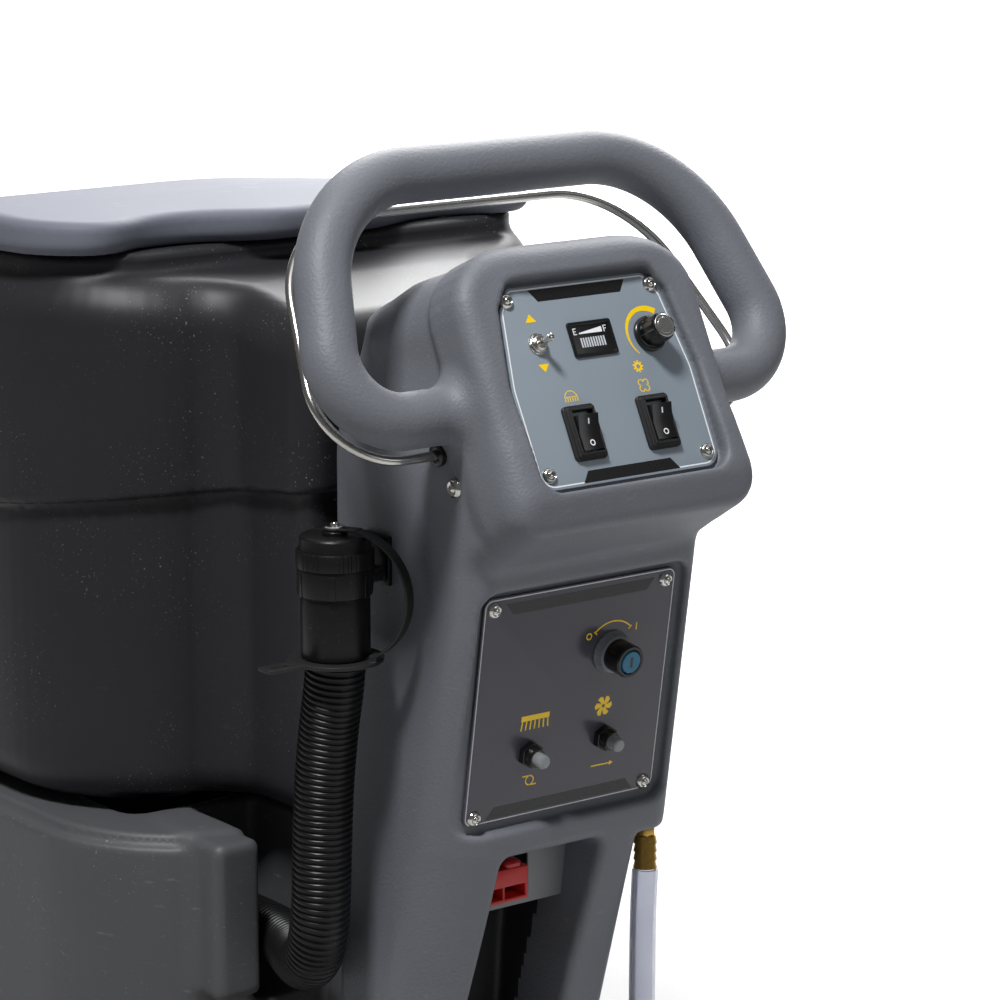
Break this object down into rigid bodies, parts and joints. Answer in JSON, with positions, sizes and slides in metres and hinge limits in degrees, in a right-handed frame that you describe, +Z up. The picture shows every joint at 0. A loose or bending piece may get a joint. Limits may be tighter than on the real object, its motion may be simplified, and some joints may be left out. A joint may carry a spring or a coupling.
{
  "type": "wet dry floor scrubber",
  "caption": "Walk-behind floor scrubber with a rotomoulded console and loop handle, tilting recovery tank over a solution base, disc brush deck and curved squeegee.",
  "frame": {"origin": "on the floor under the middle of the machine", "axes": "+Y is the way it drives, away from the operator; +X its right hand side; +Z up"},
  "size_m": [0.7584, 1.2182, 1.04],
  "materials": {
    "moulded_grey": "blue-grey rotomoulded polyethylene with a fine pebble texture",
    "moulded_dark": "dark grey rotomoulded polyethylene, lightly scuffed",
    "moulded_black": "near black rotomoulded polyethylene, satin",
    "moulded_lid": "pale grey rotomoulded polyethylene, satin",
    "panel_blue": "printed blue-grey overlay with a pale edge",
    "panel_purple": "dark purple-grey overlay under clear acrylic",
    "stainless": "stainless steel",
    "black_plastic": "black moulded plastic",
    "black_rubber": "black rubber",
    "gauge_face": "black bezel with a clear window",
    "knob_silver": "turned aluminium",
    "grey_plastic": "grey moulded plastic",
    "key_teal": "teal moulded plastic",
    "clear_plastic": "clear polycarbonate",
    "connector_red": "red polycarbonate",
    "clear_pvc": "clear flexible PVC tube",
    "brass": "machined brass",
    "black_paint": "black powder coat over steel",
    "cast_grey": "cast aluminium",
    "zinc_steel": "zinc plated steel",
    "tyre_rubber": "grey-black solid rubber tyre",
    "caster_grey": "grey non-marking rubber",
    "bristle_blue": "blue nylon bristles",
    "pedal_yellow": "yellow powder coat over steel",
    "squeegee_blade": "red-brown gum rubber",
    "squeegee_cast": "cast aluminium"
  },
  "bodies": {
    "machine": {"console_shell": "moulded_grey", "upper_panel": "panel_blue", "lower_panel": "panel_purple", "panel_fasteners": "stainless", "side_screws": "stainless", "toggle_body": "stainless", "battery_gauge": "gauge_face", "speed_control": "zinc_steel", "switch_housings": "black_rubber", "key_switch": "grey_plastic", "breaker_bodies": "black_plastic", "connector_bracket": "grey_plastic", "charge_connector": "connector_red", "motor_controller": "cast_grey", "bail_bushes": "black_plastic", "level_hose": "clear_pvc", "level_barb": "brass", "drain_hose": "black_plastic", "drain_cuff": "black_plastic", "cap_strap": "black_rubber", "hose_hook": "black_plastic", "base_tank": "moulded_dark", "filler_cap": "black_plastic", "batteries": "black_plastic", "vacuum_motor": "cast_grey", "chassis_frame": "black_paint", "transaxle": "cast_grey"},
    "bail": {"bail": "stainless"},
    "toggle": {"toggle_lever": "stainless"},
    "knob": {"speed_knob": "black_plastic", "knob_cap": "knob_silver"},
    "brush_switch": {"brush_rocker": "black_plastic"},
    "vacuum_switch": {"vacuum_rocker": "black_plastic"},
    "key": {"key_barrel": "key_teal"},
    "brush_button": {"brush_breaker_cap": "clear_plastic"},
    "vacuum_button": {"vacuum_breaker_cap": "clear_plastic"},
    "drain_plug": {"drain_cap": "black_plastic", "strap_screw": "stainless"},
    "tank": {"recovery_tank": "moulded_black", "hinge_pins": "stainless", "float_cage": "black_plastic"},
    "lid": {"lid": "moulded_lid"},
    "left_wheel": {"left_hub": "cast_grey", "left_tyre": "tyre_rubber"},
    "right_wheel": {"right_hub": "cast_grey", "right_tyre": "tyre_rubber"},
    "left_swivel": {"left_caster_fork": "zinc_steel"},
    "left_roller": {"left_caster_wheel": "caster_grey"},
    "right_swivel": {"right_caster_fork": "zinc_steel"},
    "right_roller": {"right_caster_wheel": "caster_grey"},
    "arms": {"deck_arms": "black_paint"},
    "deck": {"brush_deck": "black_paint", "brush_motor": "cast_grey"},
    "brush": {"brush_disc": "black_plastic", "brush_bristles": "bristle_blue"},
    "brush_pedal": {"brush_pedal": "pedal_yellow"},
    "squeegee_pedal": {"squeegee_pedal": "pedal_yellow"},
    "squeegee_arm": {"squeegee_arm": "black_paint"},
    "squeegee": {"squeegee_body": "squeegee_cast", "squeegee_blades": "squeegee_blade"}
  },
  "joints": [
    {"name": "bail_squeeze", "type": "hinge", "parent": "machine", "child": "bail", "pos_m": [0, -0.5045, 0.8117], "axis": [1, 0, 0], "range_deg": [0, 8.5], "stiffness_Nm_per_rad": 6, "springref_deg": -14.32},
    {"name": "toggle_flip", "type": "hinge", "parent": "machine", "child": "toggle", "pos_m": [-0.0533, -0.54498, 0.89661], "axis": [1, 0, 0], "range_deg": [-12, 12]},
    {"name": "knob_turn", "type": "hinge", "parent": "machine", "child": "knob", "pos_m": [0.056, -0.5467, 0.89322], "axis": [0, -0.8918, 0.4524], "range_deg": [-28, 270]},
    {"name": "brush_switch_rock", "type": "hinge", "parent": "machine", "child": "brush_switch", "pos_m": [-0.0347, -0.57677, 0.82953], "axis": [1, 0, 0], "range_deg": [-18, 0]},
    {"name": "vacuum_switch_rock", "type": "hinge", "parent": "machine", "child": "vacuum_switch", "pos_m": [0.0388, -0.57677, 0.82953], "axis": [1, 0, 0], "range_deg": [-18, 0]},
    {"name": "key_turn", "type": "hinge", "parent": "machine", "child": "key", "pos_m": [0.0367, -0.53013, 0.6356], "axis": [0, -0.9885, -0.1513], "range_deg": [-60, 0]},
    {"name": "brush_button_push", "type": "slide", "parent": "machine", "child": "brush_button", "axis": [0, 0.9885, 0.1513], "range_m": [0, 0.003], "stiffness_N_per_m": 400, "springref_m": -0.002},
    {"name": "vacuum_button_push", "type": "slide", "parent": "machine", "child": "vacuum_button", "axis": [0, 0.9885, 0.1513], "range_m": [0, 0.003], "stiffness_N_per_m": 400, "springref_m": -0.002},
    {"name": "drain_cap_turn", "type": "hinge", "parent": "machine", "child": "drain_plug", "pos_m": [-0.165, -0.432, 0.749], "axis": [0, 0, 1], "range_deg": [0, 90]},
    {"name": "tank_tilt", "type": "hinge", "parent": "machine", "child": "tank", "pos_m": [0, 0.476, 0.478], "axis": [-1, 0, 0], "range_deg": [0, 60]},
    {"name": "lid_open", "type": "hinge", "parent": "tank", "child": "lid", "pos_m": [0, 0.462, 0.872], "axis": [-1, 0, 0], "range_deg": [0, 100]},
    {"name": "left_wheel_spin", "type": "hinge", "parent": "machine", "child": "left_wheel", "pos_m": [-0.227, -0.04, 0.125], "axis": [1, 0, 0], "continuous": true},
    {"name": "right_wheel_spin", "type": "hinge", "parent": "machine", "child": "right_wheel", "pos_m": [0.227, -0.04, 0.125], "axis": [1, 0, 0], "continuous": true},
    {"name": "left_caster_swivel", "type": "hinge", "parent": "machine", "child": "left_swivel", "pos_m": [-0.16, -0.34, 0.15], "axis": [0, 0, 1], "continuous": true},
    {"name": "left_caster_roll", "type": "hinge", "parent": "left_swivel", "child": "left_roller", "pos_m": [-0.16, -0.372, 0.05], "axis": [1, 0, 0], "continuous": true},
    {"name": "right_caster_swivel", "type": "hinge", "parent": "machine", "child": "right_swivel", "pos_m": [0.16, -0.34, 0.15], "axis": [0, 0, 1], "continuous": true},
    {"name": "right_caster_roll", "type": "hinge", "parent": "right_swivel", "child": "right_roller", "pos_m": [0.16, -0.372, 0.05], "axis": [1, 0, 0], "continuous": true},
    {"name": "deck_lift", "type": "hinge", "parent": "machine", "child": "arms", "pos_m": [0, 0.02, 0.15], "axis": [1, 0, 0], "range_deg": [0, 10]},
    {"name": "deck_level", "type": "hinge", "parent": "arms", "child": "deck", "pos_m": [0, 0.2, 0.146], "axis": [1, 0, 0], "range_deg": [-10, 0]},
    {"name": "brush_spin", "type": "hinge", "parent": "deck", "child": "brush", "pos_m": [0, 0.34, 0.06], "axis": [0, 0, 1], "continuous": true},
    {"name": "brush_pedal_press", "type": "hinge", "parent": "machine", "child": "brush_pedal", "pos_m": [0.256, -0.3, 0.172], "axis": [1, 0, 0], "range_deg": [0, 20]},
    {"name": "squeegee_lift", "type": "hinge", "parent": "machine", "child": "squeegee_arm", "pos_m": [0, -0.4, 0.128], "axis": [-1, 0, 0], "range_deg": [0, 14]},
    {"name": "squeegee_swing", "type": "hinge", "parent": "squeegee_arm", "child": "squeegee", "pos_m": [0, -0.522, 0.11], "axis": [0, 0, 1], "range_deg": [-7, 7]},
    {"name": "squeegee_pedal_press", "type": "hinge", "parent": "machine", "child": "squeegee_pedal", "pos_m": [-0.256, -0.3, 0.172], "axis": [1, 0, 0], "range_deg": [0, 20]}
  ],
  "couplings": [
    {"joint": "deck_level", "follows": "deck_lift", "ratio": -1},
    {"joint": "brush_pedal_press", "follows": "deck_lift", "ratio": 2},
    {"joint": "squeegee_pedal_press", "follows": "squeegee_lift", "ratio": 1.4}
  ]
}
